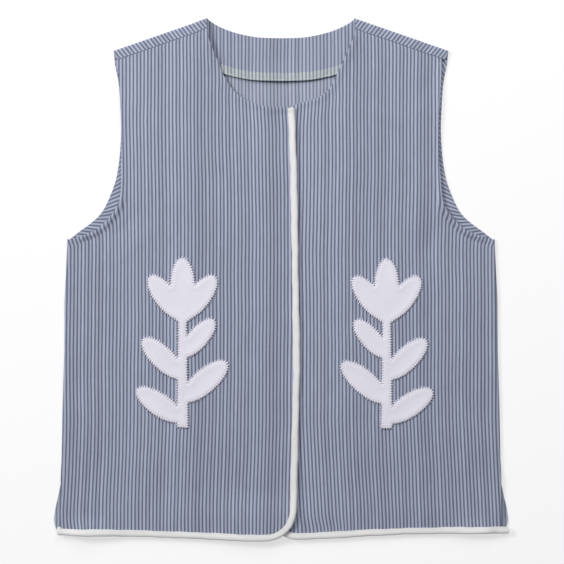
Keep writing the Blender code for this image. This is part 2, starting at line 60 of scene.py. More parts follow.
# The cloth and the layers
CLOTH = 1.0
GAP = 0.3
LAYER = CLOTH + GAP
EASE = 0.3
BACK_LEVEL = CLOTH / 2
FACING_LEVEL = BACK_LEVEL + LAYER
TAPE_LEVEL = BACK_LEVEL + 2 * LAYER
UNDER_LEVEL = BACK_LEVEL + 2 * LAYER
FRONT_LEVEL = BACK_LEVEL + 3 * LAYER
HEM_LEVEL = BACK_LEVEL + 4 * LAYER + EASE / 2
ROLL = (FRONT_LEVEL - BACK_LEVEL) / 2
ROLL_CENTRE = (FRONT_LEVEL + BACK_LEVEL) / 2
ROLL_OUT = ROLL + CLOTH / 2
EDGE_BULGE = 0.3
RIM_ANGLES = (math.radians(35), math.radians(90), math.radians(145))

# The garment's own sizes
NECK_POINT = np.array((83.6, 580.0))
SHOULDER_TIP = np.array((188.5, 543.6))
SHOULDER_BAND = 11.0
UNDERARM = 332.0
VENT = 58.0
VENT_EASE = 30.0
BINDING = 8.0
CORNER = 36.0
TAPE = 9.2
ARMHOLE_FACING = 15.0
FACING_AT_SHOULDER = 44.0
FACING_STOP = ROLL_OUT + 1.5
BACK_HEM = 2.5
SIGN = {"right": -1, "left": 1}
ORIGIN_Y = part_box("binding_back")[0].y / MM - BACK_HEM

# How the fronts rise over each other and over the back's hem
HEM_FLAT = 20.0
HEM_RISE = 40.0
UNDER_END = 22.0
UNDER_EASE = 45.0
OVER_START = -100.0
OVER_EASE = 78.0
BACK_RISE_FROM = 29.0
BACK_RISE_TO = 13.0

# Distances between mesh points
FRONT_MESH = 3.6
BACK_MESH = 6.0
EDGE_MESH = 3.0
BINDING_MESH = 2.4
ROLL_STEPS = 4
SHOULDER_ROLL_STEPS = 10
LINE_PARTS = 6
EDGE_HEIGHTS = (460, 435, 410, *range(380, 90, -30), 84, 72, 62, 53, 45, 38)
HEM_STATIONS = (-30, -42, -55, -70, -88, -108, -130, -160, -190, -220)
CORNER_PARTS = 9
BACK_HEM_LINES = 5
BAND_PARTS = 3
FACING_PARTS = 12
NARROW_PARTS = 5
BINDING_FLATS = 4
BINDING_TURNS = 8
# How clear of lines the points between them stay, as a share of their distance
FIELD_CLEAR = 0.6
MERGE = 1e-4
SPRIG_MERGE = 1e-3
TINY = 1e-9
LEAST_ROLL = 0.001

# Height above the hem, half width at the side seam
SIDE = (
    (0, 246.5), (62, 246.9), (96, 246.3), (152, 245.2),
    (208, 243.5), (264, 243.2), (320, 240.4), (332, 240.1),
)
# Height above the hem, half width of the back's free edge below the side seam
BACK_VENT = ((3.8, 252.0), (10, 254.0), (17.4, 255.3), (28.6, 254.1), (40, 251.3), (51, 249.2))
# Height above the hem, half width of the back at the armhole, and of the fronts
BACK_ARMHOLE = (
    (528, 186.6), (511, 183.1), (489, 181.2), (455, 179.8), (425, 181.6),
    (399, 185.8), (376.5, 194), (361, 202.5), (350, 214), (340.5, 227),
)
FRONT_ARMHOLE_FOOT = (
    (389, 179.8), (373, 182.2), (360, 189.6), (351, 197.5), (343, 206.5), (337.5, 219),
)
FRONT_ARMHOLE = {
    "right": ((511, 181.8), (480, 180.2), (444, 179), (413, 179.6)) + FRONT_ARMHOLE_FOOT,
    "left": ((511, 179.5), (480, 178.2), (444, 177), (413, 178.3)) + FRONT_ARMHOLE_FOOT,
}
FRONT_TIP = {"right": 185.6, "left": 181.0}
# Half width, height above the hem, of the back's neckline from its middle to the shoulder
BACK_NECK = ((0, 558.2), (24.7, 559), (45.4, 562.7), (61.2, 567.6), (73, 573))
NECK_CORNER = -1.8
FACING_CORNER = -1.0
BAND_AT_NECK = 83.0
TIP_DRAW = 1.0
# How far in and up the armhole facings end at the underarm
ARMHOLE_END = (1.5, 1.0)
# Place across, height above the hem, of each front's neckline from its shoulder to its edge
FRONT_NECK = {
    "right": (
        (-82, 560), (-77.2, 547), (-71.4, 533), (-61.9, 511),
        (-50.5, 496.5), (-34.8, 486.4), (-16, 481.2),
    ),
    "left": (
        (81.6, 559), (76.8, 547.5), (72, 537), (67.2, 526.5), (61.6, 514.5), (55.4, 502.5),
        (46.5, 493.8), (35, 489), (24, 485.8), (12, 481.8), (0, 478.8),
    ),
}
NECK_AT_SEAM = {"right": 83.2, "left": 83.6}
NECK_AT_EDGE = {"right": 479.7, "left": 477.5}
# Height above the hem, reach of the bound front edge past the centre line
FRONT_EDGE = (
    (30, 17.7), (57, 18.4), (118, 19.8), (170, 21.0), (208, 21.5), (245, 20.6),
    (290, 19.9), (343, 19.2), (400, 18.4), (447, 16.7), (480, 15.5),
)
# Distance from the centre line, height of the bound hem's lower edge
HEM = {
    "right": (
        (0, -6.9), (21, -6.6), (49, -6.2), (90, -4.3),
        (136, -2.7), (180, -1.2), (220, -0.5), (250, -0.2),
    ),
    "left": (
        (0, -5.6), (20, -5.1), (49, -4.2), (90, -1.6), (133, 0.5), (180, 1.5), (218, 2), (250, 2),
    ),
}
# Half width, height above the hem, of the neck facing's lower edge
FACING_EDGE = (
    (0, 509.4), (20, 510), (35, 511.1), (50, 513.9), (62, 517), (85, 526), (106, 541),
)
# Each piece's soft creases: place across, height above the hem, lean, half length, half width,
# rise. The last of each front lifts its hem near the side.
CREASES = {
    "right": (
        (-208, 262, 0.14, 66, 24, 1.3), (-226, 180, -0.03, 90, 13, -0.7),
        (-214, 118, -0.05, 70, 20, 1.2), (-186, 361, -0.62, 38, 13, 1.4),
        (-176, 345, -0.80, 40, 10, -0.8), (-160, 330, -0.80, 44, 14, 1.0),
        (-62, 352, -0.09, 90, 32, 0.8), (-140, 440, 0.26, 66, 24, 1.0),
        (-112, 470, 0.42, 52, 18, -0.7), (-150, 70, 0.10, 44, 26, 0.9),
        (-60, 90, -0.16, 52, 28, 0.8), (-160, 150, 0.20, 60, 22, -0.6),
        (-214, 0, 1.57, 46, 26, 5.5),
    ),
    "left": (
        (150, 352, -0.35, 55, 20, 1.4), (168, 330, -0.42, 42, 13, -0.9),
        (206, 250, 0.14, 72, 24, 1.2), (92, 425, 0.35, 62, 24, 1.0),
        (62, 450, 0.52, 40, 13, -0.7), (118, 470, 1.35, 50, 16, 0.8),
        (212, 110, 0.05, 56, 20, 1.1), (92, 92, 0.07, 36, 28, 0.9),
        (170, 70, 0.45, 44, 20, 0.9), (60, 240, 0.05, 90, 26, 0.7),
        (74, 548, -0.24, 40, 12, 0.8), (182, 490, 0.0, 66, 12, 2.0),
        (182, 395, -0.12, 60, 10, 1.4), (224, 0, 1.57, 46, 26, 4.5),
    ),
    "back": (
        (-120, 240, 0.22, 110, 26, 1.1), (96, 180, -0.12, 120, 30, 1.2),
        (10, 330, 0.04, 90, 24, 1.0), (-60, 120, 0.30, 60, 22, 0.9),
        (150, 320, -0.42, 70, 22, 1.1), (-168, 130, -0.18, 70, 22, 1.0),
    ),
}
SHOULDER_FADE = 14.0
SIDE_FADE = 16.0
LEAST_AT_SIDE = 0.05
# Where the shoulder stands up at each side of the neck, as a crease
NECK_RISES = {"right": (-83, 562, 0.20, 52, 15, 5.2), "left": (84, 562, -0.20, 40, 13, 0.9)}
# Bands turned under: edge, width, rise, rise lower down, and the heights between which it grows
TURNED_HEMS = (
    ("armhole", 9.5, 0.45, 1.8, 392.0, 368.0),
    ("neck", 10.0, 0.5, 0.6, 520.0, 500.0),
)
HEM_LIP = 0.3
HEM_GROOVE = 0.35
HEM_LINES = (2.0, 4.0, 6.0, 8.0)
HEM_LINE_TRIM = 4
# How far the back neck facing's lower edge curls up, over what width, and how far in
FACING_CURL = 1.7
FACING_CURL_HALF = 64.0
FACING_CURL_DEPTH = 26.0
# Height above the hem, how far out the stripes have moved there
STRIPE_SPREAD = {
    "right": (
        (10, 3.8), (30, 3.6), (62, 2.7), (96, 1.6), (130, 0.8),
        (200, 0.4), (320, 0), (400, 0.4), (466, 1.9),
    ),
    "left": (
        (10, 6.0), (30, 5.2), (62, 3.7), (96, 2.2), (130, 0.8),
        (220, 0.6), (320, 0), (399, 1.2), (466, 1.3),
    ),
}
# Where the hem pulls the stripes sideways, as a crease whose rise is the way outwards
STRIPE_PULLS = {"right": (-230, 0, 1.57, 25, 22, -2.5), "left": (45, 0, 1.57, 45, 26, 2.8)}
# Stripes that lean at a cut edge: edge, width, shift there, and the heights between which it grows
STRIPE_LEANS = (
    ("armhole", 10.0, 2.8, 402.0, 356.0),
    ("neck", 30.0, 1.2, 510.0, 488.0),
)
# Slight waves all over: rise, angle across the cloth, length, phase
WAVES = (
    (0.16, 0.20, 61, 0.4), (0.12, 1.35, 83, 2.1), (0.10, -0.60, 37, 4.0), (0.05, 0.90, 19, 1.0),
)

# The sprigs: foot of the stem, and the leaves and petals on it
SPRIG_FOOT = {"right": (-110.5, 121.0), "left": (118.5, 120.0)}
STEM_HEIGHT = 132.0
STEM_FOOT_WIDTH = 12.0
STEM_TOP_WIDTH = 8.0
CUP_RADIUS = 14.0
# Height on the stem, lean to the side, length, width
LEAVES = ((8, 0.98, 62, 25), (30, -0.86, 66, 26), (56, 0.80, 62, 25), (80, -0.72, 54, 22))
PETALS = ((126, 0.0, 64, 27), (122, 0.66, 60, 25), (122, -0.66, 60, 25))
LENS_STEPS = 8
CUP_SIDES = 16
SPRIG_MESH = 1.6
SPRIG_SMOOTHINGS = 2
# How far the cloth stands up inside the stitches, and sinks again further in
SPRIG_PUFF = 0.85
SPRIG_PUFF_WIDTH = 3.2
SPRIG_SINK = 0.35
SPRIG_SINK_WIDTH = 6.0

# The bindings: rise of the folded cloth, how uneven it is, and how it is rounded at its ends
BINDING_PUFF = 0.75
BINDING_PUFF_WAVER = 0.45
BINDING_INNER_WAVER = 0.45
BINDING_OUTER_WAVER = 0.35
BINDING_END_ROUND = 1.5
BINDING_END_POWER = 2.5
# How far the bound hems reach past the side seams
HEM_END_REACH = {"right": 3.5, "left": 9.0}
# How far the back's binding drops at its ends, and over what length
BACK_END_DROP = 1.8
BACK_END_LENGTH = 14.0
# The hand-made waver along seams: rise, length, turns of its phase; and the phases
WAVERS = ((1 / 2.2, 7.3, 1), (0.7 / 2.2, 3.1, 2), (0.9 / 2.2, 23, 3))
FRONT_PHASE = 2.0
BACK_PHASE = 0.5
OUTER_PHASE = 0.9
PUFF_PHASE = 1.7
WHIP_PHASE = 1.0
# How far apart the binding's lengthwise lines of points are in its grain
BINDING_GRAIN = 1.3

# The sewing
THREAD_SIDES = 6
THREAD_END = 0.15
WHIP_PITCH = 2.9
WHIP_SLANT = 0.2
WHIP_RADIUS = 0.66
WHIP_UNEVEN = 0.32
WHIP_WAVER = 5
# Distance out of a sprig's edge, height above the front's middle
WHIP_PATH = ((-2.9, 1.7), (-2.1, 2.2), (-0.3, 2.3), (1.0, 1.3), (1.9, 0.55))
SEAM_PITCH = 3.3
SEAM_STITCH = 2.2
SEAM_RADIUS = 0.26
SEAM_IN = 6.2
TAPE_SEAM = 1.6
# Share of a running stitch's length, and how many radii it sinks there
SEAM_PATH = ((0.0, 1.4), (0.2, 0.1), (0.5, -0.3), (0.8, 0.1), (1.0, 1.4))

# The striped cloth: distances in millimetres, colours as linear values
STRIPE_PITCH = 4.0
STRIPE_DARK = (0.131, 0.148, 0.219)
STRIPE_LIGHT = (0.381, 0.415, 0.53)
FACING_DARK = (0.152, 0.171, 0.247)
FACING_LIGHT = (0.362, 0.394, 0.50)
INSIDE_DARK = (0.185, 0.205, 0.27)
INSIDE_LIGHT = (0.385, 0.42, 0.52)
TAPE_DARK = (0.22, 0.245, 0.28)
TAPE_LIGHT = (0.46, 0.50, 0.525)
CREAM = (0.77, 0.765, 0.765)
WHITE = (0.76, 0.745, 0.83)
FLOOR = (0.40, 0.398, 0.40)
FLOOR_GLOW = (0.585, 0.583, 0.59)
FLOOR_ROUGHNESS = 0.9
FLOOR_HALF = 4
# How far from a stripe's middle its dark part starts and is full, as shares of the pitch
STRIPE_EDGE = (0.215, 0.345)
STRIPE_OWN = 0.22
# Noise: scale across the cloth, scale along it, detail, amount
STRIPE_DRIFT = (0.011, 0.009, 1.0, 3.0)
STRIPE_SHAKE = (0.12, 0.05, 2.0, 0.35)
STRIPED_SHADES = ((0.9, 0.05, 2.0, 0.30), (0.10, 1.1, 2.0, 0.14), (0.018, 0.015, 2.0, 0.12))
STRIPED_SLUB = (0.5, 0.35, 2.0, 1.2)
PLAIN_SHADES = ((0.9, 0.16, 2.0), (0.13, 1.0, 2.0))
PLAIN_SLUB = (0.6, 0.6, 2.0, 1.5)
# Roughness and sheen, or roughness and mottle, and the widths of the yarns each way
STRIPED_FINISH = (0.86, 0.12)
CREAM_FINISH = (0.80, 0.06)
WHITE_FINISH = (0.85, 0.08)
PLAIN_SHEEN = 0.10
SHEEN_ROUGHNESS = 0.5
SPECULAR = 0.25
STRIPED_YARNS = (0.55, 0.60)
PLAIN_YARNS = (0.7, 0.7)
# The relief of the weave, and of the dark stripes; the depth is in metres
WEAVE_RELIEF = 0.3
DARK_RELIEF = -0.7
BUMP_STRENGTH = 0.35
BUMP_DEPTH = 0.00022

# Each piece's cut as it shows, without turnings: width, length, the share of that rectangle
# which it fills, and what it lies on
CUTS = {
    "back": (510, 587, 0.842, ()),
    "neck_facing": (248, 66.5, 0.63, ("back",)),
    "neck_tape": (10, 287, 0.94, ("neck_facing",)),
    "armhole_facing_right": (15, 240, 1.0, ("back",)),
    "armhole_facing_left": (15, 240, 1.0, ("back",)),
    "binding_back": (17, 503, 1.0, ()),
    "front_left": (267, 571, 0.826, ("back", "neck_facing", "armhole_facing_left")),
    "binding_front_left": (17, 740, 1.0, ("back",)),
    "front_right": (267, 574, 0.826, ("back", "neck_facing", "front_left")),
    "binding_front_right": (17, 740, 1.0, ("back", "front_left")),
    "applique_right": (103, 190, 0.455, ("front_right",)),
    "applique_left": (103, 190, 0.455, ("front_left",)),
}

# The camera and the lights, in metres
CAMERA_MIDDLE = (0.0011, -0.0028)
CAMERA_HEIGHT = 1.9
VIEW_WIDTH = 0.6328
VIEW_LEVEL = 0.005
SENSOR = 36.0
# Place, size, power
LAMPS = {
    "key": ((-2.3, 1.3, 2.3), 1.2, 79.0),
    "top": ((0.25, 1.25, 1.35), 1.5, 20.0),
}
LAMP_COLOUR = (1.0, 0.99, 0.98)
FILL_COLOUR = (0.95, 0.965, 1.0)
FILL_STRENGTH = 0.21


def blend(t):
    """A soft step that rises from 0 to 1 as t does."""
    t = np.clip(t, 0, 1)
    return t * t * (3 - 2 * t)


def mix(a, b, share):
    return a + (b - a) * share


def look_up(rows, at):
    """The second column of a table at values of its first, which rises."""
    return np.interp(at, [r[0] for r in rows], [r[1] for r in rows])


def unit(vectors):
    length = np.linalg.norm(vectors, axis=-1, keepdims=True)
    return vectors / np.maximum(length, TINY)


def smooth_line(points):
    """A smooth line through the points, with a few parts between each two."""
    points = np.array(points, float)
    ends = np.vstack([2 * points[0] - points[1], points, 2 * points[-1] - points[-2]])
    a, b, c, d = (ends[i : len(ends) - 3 + i, None, :] for i in range(4))
    t = (np.arange(1, LINE_PARTS + 1) / LINE_PARTS)[None, :, None]
    curve = 2 * b + (c - a) * t + (2 * a - 5 * b + 4 * c - d) * t**2
    curve = 0.5 * (curve + (3 * b - a - 3 * c + d) * t**3)
    return np.vstack([points[:1], curve.reshape(-1, points.shape[1])])


def lengths_along(line):
    return np.concatenate([[0], np.cumsum(np.linalg.norm(np.diff(line, axis=0), axis=1))])


def even_line(line, step=EDGE_MESH, count=None):
    """The line with its points evenly spaced, about a step apart or in a number of parts."""
    reached = lengths_along(line)
    at = np.linspace(0, reached[-1], (count or round(reached[-1] / step)) + 1)
    return np.column_stack([np.interp(at, reached, column) for column in line.T])


def closed(line):
    return np.vstack([line, line[:1]])


def left_of(line):
    """The unit direction to the left of a line's travel, at each of its points."""
    along = np.gradient(line, axis=0)
    return unit(np.column_stack([-along[:, 1], along[:, 0]]))


def shifted(line, distance):
    """The line moved to its left."""
    return line + left_of(line) * np.reshape(distance, (-1, 1))


def flipped(line, sign):
    return line * np.array((sign, 1))


# The shoulder line: its direction from the neck, and the direction over it
SHOULDER_LENGTH = float(np.linalg.norm(SHOULDER_TIP - NECK_POINT))
ALONG = (SHOULDER_TIP - NECK_POINT) / SHOULDER_LENGTH
OVER = np.array((-ALONG[1], ALONG[0]))


def below_shoulder(along, distance):
    """A place in plan at a distance inside the shoulder's outline, on the +X side."""
    return NECK_POINT + np.outer(along, ALONG) - np.outer(distance, OVER)


def along_shoulder(x, distance):
    """How far along the shoulder line a place with this X lies, at that distance inside."""
    return (x - NECK_POINT[0] + OVER[0] * distance) / ALONG[0]


def side_line(y):
    return look_up(SIDE, y) - ROLL_OUT


def hem_line(front, x):
    """Height of the bound hem's lower edge: the fronts drop a little towards the centre."""
    return look_up(HEM[front], np.abs(x))


def front_armhole(front):
    """A front's armhole from the underarm to the shoulder."""
    seam = SHOULDER_BAND + GAP
    tip = below_shoulder(along_shoulder(FRONT_TIP[front], seam), seam)[0]
    line = [(float(side_line(UNDERARM)), UNDERARM)]
    line += [(x, y) for y, x in reversed(FRONT_ARMHOLE[front])] + [tuple(tip)]
    return flipped(smooth_line(line), SIGN[front])


def front_neckline(front):
    """A front's neckline from the shoulder to its bound edge."""
    seam = SHOULDER_BAND + GAP
    start = below_shoulder(along_shoulder(NECK_AT_SEAM[front], seam), seam)
    end = (-SIGN[front] * (look_up(FRONT_EDGE, NECK_AT_EDGE[front]) - LAYER), NECK_AT_EDGE[front])
    return smooth_line(np.vstack([flipped(start, SIGN[front]), FRONT_NECK[front], end]))


CUT_EDGES = {front: {"armhole": front_armhole(front), "neck": front_neckline(front)} for front in SIGN}


def turned_hem(front, x, y):
    """Rise of the soft bands where a front's neckline and armhole are turned under."""
    plan = np.column_stack([np.ravel(x), np.ravel(y)])
    rise = np.zeros(len(plan))
    for edge, width, puff, deep_puff, deep_from, deep_to in TURNED_HEMS:
        inward = distance_to(plan, CUT_EDGES[front][edge]) / width
        full = mix(puff, deep_puff, blend((deep_from - plan[:, 1]) / (deep_from - deep_to)))
        rise += full * np.sin(math.pi * np.clip(inward + HEM_LIP, 0, 1)) ** 2
        rise -= HEM_GROOVE * full * np.sin(math.pi * np.clip((inward - 1 + HEM_LIP) / HEM_LIP, 0, 1)) ** 2
    return rise.reshape(np.shape(x))


def stripe_place(front, x, y):
    """Crosswise place in a front's cloth: its stripes fan out at the hem and lean at cut edges."""
    plan = np.column_stack([x, y])
    shift = look_up(STRIPE_SPREAD[front], y) + ridge(x, y, *STRIPE_PULLS[front])
    for edge, width, lean, from_y, to_y in STRIPE_LEANS:
        inward = distance_to(plan, CUT_EDGES[front][edge]) / width
        shift = shift + lean * (1 - blend(inward)) * blend((from_y - y) / (from_y - to_y))
    return x - SIGN[front] * shift


def ridge(x, y, centre_x, centre_y, lean, half_length, half_width, height):
    """Rise of one soft crease at places in plan."""
    across = (x - centre_x) * math.cos(lean) + (y - centre_y) * math.sin(lean)
    along = (y - centre_y) * math.cos(lean) - (x - centre_x) * math.sin(lean)
    across = np.clip(across / half_width, -1, 1) * math.pi / 2
    along = np.clip(along / half_length, -1, 1) * math.pi / 2
    return height * np.cos(across) ** 2 * np.cos(along) ** 2


def crease_height(piece, x, y):
    """Rise of a piece's creases and slight waves, which die away at its seams."""
    rise = np.zeros(np.shape(x))
    for crease in CREASES[piece]:
        rise = rise + ridge(x, y, *crease)
    if piece != "back":
        rise = rise + turned_hem(piece, x, y)
        for height, angle, length, phase in WAVES:
            along = x * math.cos(angle) + y * math.sin(angle)
            rise = rise + height * np.sin(2 * math.pi * along / length + phase + SIGN[piece])
    from_neck = np.stack([np.abs(x), y], axis=-1) - NECK_POINT
    seam_distance = -(from_neck @ OVER) - SHOULDER_BAND
    rise = rise * blend(seam_distance / SHOULDER_FADE)
    rise = rise * blend((side_line(y) - np.abs(x)) / SIDE_FADE + LEAST_AT_SIDE)
    return rise if piece == "back" else rise + ridge(x, y, *NECK_RISES[piece])


def left_height(x, y):
    """Height of the left front's middle: low under the overlap, raised over the back's hem."""
    near_hem = 1 - blend((y - hem_line("left", x) - HEM_FLAT) / HEM_RISE)
    under = 1 - blend((x - UNDER_END) / UNDER_EASE)
    plain = mix(FRONT_LEVEL, UNDER_LEVEL, under)
    return mix(plain, HEM_LEVEL, near_hem) + crease_height("left", x, y)


def right_height(x, y):
    """Height of the right front's middle, which passes over the left front's bound edge."""
    near_hem = 1 - blend((y - hem_line("right", x) - HEM_FLAT) / HEM_RISE)
    over = blend((x - OVER_START) / OVER_EASE)
    beside = mix(FRONT_LEVEL, HEM_LEVEL, near_hem)
    on_top = left_height(np.minimum(x, UNDER_END), y) + LAYER * (2 + near_hem) + EASE
    return mix(beside, on_top, over) + crease_height("right", x, y)


HEIGHT = {"right": right_height, "left": left_height}


def back_height(x, y):
    """The back lies on the surface, and rises by a layer over its own binding at the hem."""
    rise = blend((BACK_RISE_FROM - y) / (BACK_RISE_FROM - BACK_RISE_TO))
    return BACK_LEVEL + LAYER * rise + crease_height("back", x, y)


def surface_normals(points, faces, out):
    """The smooth direction of a surface at each of its points, on the side that out is on."""
    normals = np.zeros(points.shape)
    for size in (3, 4):
        group = np.array([f for f in faces if len(f) == size], int).reshape(-1, size)
        corners = points[group]
        face_normals = np.cross(corners[:, 2] - corners[:, 0], corners[:, -1] - corners[:, 1])
        same = np.sum(face_normals * out[group].sum(1), axis=1) > 0
        face_normals[~same] *= -1
        for i in range(size):
            np.add.at(normals, group[:, i], face_normals)
    return unit(normals)


def inside(points, outline):
    """Which of the plan points are inside an outline."""
    odd = np.zeros(len(points), bool)
    x, y = points.T
    for a, b in zip(outline, np.roll(outline, -1, axis=0)):
        if a[1] == b[1]:
            continue
        crossed = (a[1] > y) != (b[1] > y)
        odd ^= crossed & (x < a[0] + (y - a[1]) / (b[1] - a[1]) * (b[0] - a[0]))
    return odd


def distance_to(points, line):
    """The distance of each plan point from a line."""
    nearest = np.full(len(points), np.inf)
    for a, b in zip(line, line[1:]):
        way = b - a
        share = np.clip((points - a) @ way / max(way @ way, TINY), 0, 1)
        nearest = np.minimum(nearest, np.linalg.norm(points - a - share[:, None] * way, axis=1))
    return nearest


def field(outline, lines, step):
    """Staggered points inside an outline, clear of it and of the lines."""
    low, high = outline.min(0), outline.max(0)
    rows = np.arange(low[1], high[1], step * math.sin(math.pi / 3))
    x, y = np.meshgrid(np.arange(low[0], high[0], step), rows)
    x = x + (np.arange(len(rows)) % 2 * step / 2)[:, None]
    points = np.column_stack([x.ravel(), y.ravel()])
    points = points[inside(points, outline)]
    for line in [closed(outline)] + lines:
        points = points[distance_to(points, line) > FIELD_CLEAR * step]
    return points


class Cloth:
    """A middle surface: points, the direction outwards and the cloth's grain at each, and faces."""

    def __init__(self):
        self.points = np.zeros((0, 3))
        self.out = np.zeros((0, 3))
        self.grain = np.zeros((0, 2))
        self.faces = []

    def add(self, points, out, grain):
        """Adds a row of points and returns their numbers."""
        start = len(self.points)
        self.points = np.vstack([self.points, points])
        self.out = np.vstack([self.out, unit(out)])
        self.grain = np.vstack([self.grain, grain])
        return list(range(start, len(self.points)))

    def net(self, outline, lines, loose, place):
        """Fills an outline in plan with triangles over given lines and loose points.

        place gives plan points' own points, outward directions and grain. Returns the
        numbers of the outline's points.
        """
        corners = [Vector(p) for p in outline]
        edges = [(i, (i + 1) % len(outline)) for i in range(len(outline))]
        for line in lines:
            start = len(corners)
            corners += [Vector(p) for p in line]
            edges += [(i, i + 1) for i in range(start, start + len(line) - 1)]
        corners += [Vector(p) for p in loose]
        flat = delaunay_2d_cdt(corners, edges, [list(range(len(outline)))], 1, MERGE)
        points, triangles, sources = flat[0], flat[2], flat[3]
        numbers = self.add(*place(np.array(points)))
        self.faces += [[numbers[i] for i in t] for t in triangles]
        found = {source: i for i, group in enumerate(sources) for source in group}
        return [numbers[found[i]] for i in range(len(outline))]

    def strip(self, rows, before=()):
        """Adds rows of new points with faces between them, first from the points in before."""
        for row in rows:
            now = self.add(*row)
            self.faces += [list(face) for face in zip(before, before[1:], now[1:], now)]
            before = now

    def rim(self):
        """The surface's open edges, and the direction out of the surface at their points."""
        uses = {}
        for face in self.faces:
            for a, b in zip(face, face[1:] + face[:1]):
                key = (a, b) if a < b else (b, a)
                uses.setdefault(key, []).append((a, b, face))
        edges = []
        away = np.zeros(self.points.shape)
        for ways in uses.values():
            if len(ways) > 1:
                continue
            a, b, face = ways[0]
            along = self.points[b] - self.points[a]
            side = unit(np.cross(along, self.out[a] + self.out[b]))
            if side @ (self.points[face].mean(0) - self.points[a]) > 0:
                side = -side
            away[a] += side
            away[b] += side
            edges.append((a, b))
        return edges, unit(away)

    def solid(self, name, slot, material, inner_material=None):
        """The wall round the middle surface, with rounded edges, as an object.

        The side away from out can have a material of its own.
        """
        used = sorted({i for face in self.faces for i in face})
        renumber = {i: n for n, i in enumerate(used)}
        self.points, self.out, self.grain = self.points[used], self.out[used], self.grain[used]
        self.faces = [[renumber[i] for i in face] for face in self.faces]
        normals = surface_normals(self.points, self.faces, self.out)
        edges, away = self.rim()
        half = self.out * CLOTH / 2
        middle = self.points - away * EDGE_BULGE * CLOTH
        count = len(middle)
        open_points = sorted({i for edge in edges for i in edge})
        corners = [middle + half, middle - half]
        directions = [normals, -normals]
        grain = [self.grain, self.grain]
        for angle in RIM_ANGLES:
            bulge = away * EDGE_BULGE * CLOTH * math.sin(angle) + half * math.cos(angle)
            corners.append((middle + bulge)[open_points])
            round_way = away * math.sin(angle) + normals * math.cos(angle)
            directions.append(unit(round_way)[open_points])
            grain.append(self.grain[open_points])
        rings = [{i: i for i in open_points}]
        for r in range(len(RIM_ANGLES)):
            start = 2 * count + r * len(open_points)
            rings.append({i: start + n for n, i in enumerate(open_points)})
        rings.append({i: count + i for i in open_points})
        faces = list(self.faces)
        faces += [[count + i for i in reversed(face)] for face in self.faces]
        for a, b in edges:
            for upper, lower in zip(rings, rings[1:]):
                faces.append([upper[b], upper[a], lower[a], lower[b]])
        tables = [np.vstack(parts) for parts in (grain, directions)]
        item = make_object(name, slot, material, np.vstack(corners), faces, *tables)
        if inner_material:
            item.data.materials.append(inner_material)
            sheet = len(self.faces)
            inner = [int(sheet <= i < 2 * sheet) for i in range(len(faces))]
            item.data.polygons.foreach_set("material_index", inner)
        return item


def put_in_scene(name, data):
    item = bpy.data.objects.new(name, data)
    bpy.context.scene.collection.objects.link(item)
    return item


def make_object(name, slot, material, points, faces, grain, normals=None):
    """A mesh from points in millimetres, with the cloth's grain. slot is not used."""
    data = bpy.data.meshes.new(name)
    moved = (points + np.array((0, ORIGIN_Y, 0))) * MM
    data.from_pydata(moved.tolist(), [], faces)
    mesh = bmesh.new()
    mesh.from_mesh(data)
    bmesh.ops.recalc_face_normals(mesh, faces=mesh.faces)
    mesh.to_mesh(data)
    mesh.free()
    data.shade_smooth()
    layer = data.uv_layers.new(name="Grain")
    corner_points = np.zeros(len(data.loops), int)
    data.loops.foreach_get("vertex_index", corner_points)
    layer.data.foreach_set("uv", grain[corner_points].ravel())
    if normals is not None:
        data.normals_split_custom_set_from_vertices(normals.tolist())
    data.materials.append(material)
    item = put_in_scene(name, data)
    return item


def add_node(tree, kind, inputs=None, **settings):
    """A shader node with its settings, and its inputs by name or number."""
    node = tree.nodes.new("ShaderNode" + kind)
    for key, value in settings.items():
        setattr(node, key, value)
    for key, value in (inputs or {}).items():
        if isinstance(value, bpy.types.NodeSocket):
            tree.links.new(value, node.inputs[key])
        else:
            node.inputs[key].default_value = value
    return node


def calculate(tree, operation, first, second=0.0):
    return add_node(tree, "Math", {0: first, 1: second}, operation=operation).outputs[0]


def plain_material(name, roughness, sheen):
    material = bpy.data.materials.new(name)
    material.use_nodes = True
    tree = material.node_tree
    shader = tree.nodes["Principled BSDF"]
    shader.inputs["Roughness"].default_value = roughness
    shader.inputs["Specular IOR Level"].default_value = SPECULAR
    shader.inputs["Sheen Weight"].default_value = sheen
    shader.inputs["Sheen Roughness"].default_value = SHEEN_ROUGHNESS
    return material, tree, shader


def grain_axes(tree):
    """The cloth's crosswise and lengthwise places, in millimetres."""
    grain = add_node(tree, "UVMap", uv_map="Grain").outputs[0]
    parts = add_node(tree, "SeparateXYZ", {0: grain})
    return parts.outputs[0], parts.outputs[1]


def centred(tree, value, amount):
    """A value from 0 to 1, turned into one of half an amount either side of zero."""
    return calculate(tree, "MULTIPLY", calculate(tree, "SUBTRACT", value, 0.5), amount)


def noise(tree, row):
    """Noise about zero, from its row: scale across, scale along, detail, amount."""
    across, along, detail, amount = row
    u, v = grain_axes(tree)
    stretched = {0: calculate(tree, "MULTIPLY", u, across), 1: calculate(tree, "MULTIPLY", v, along)}
    vector = add_node(tree, "CombineXYZ", stretched).outputs[0]
    inputs = {"Vector": vector, "Scale": 1.0, "Detail": detail}
    return centred(tree, add_node(tree, "TexNoise", inputs).outputs[0], amount)


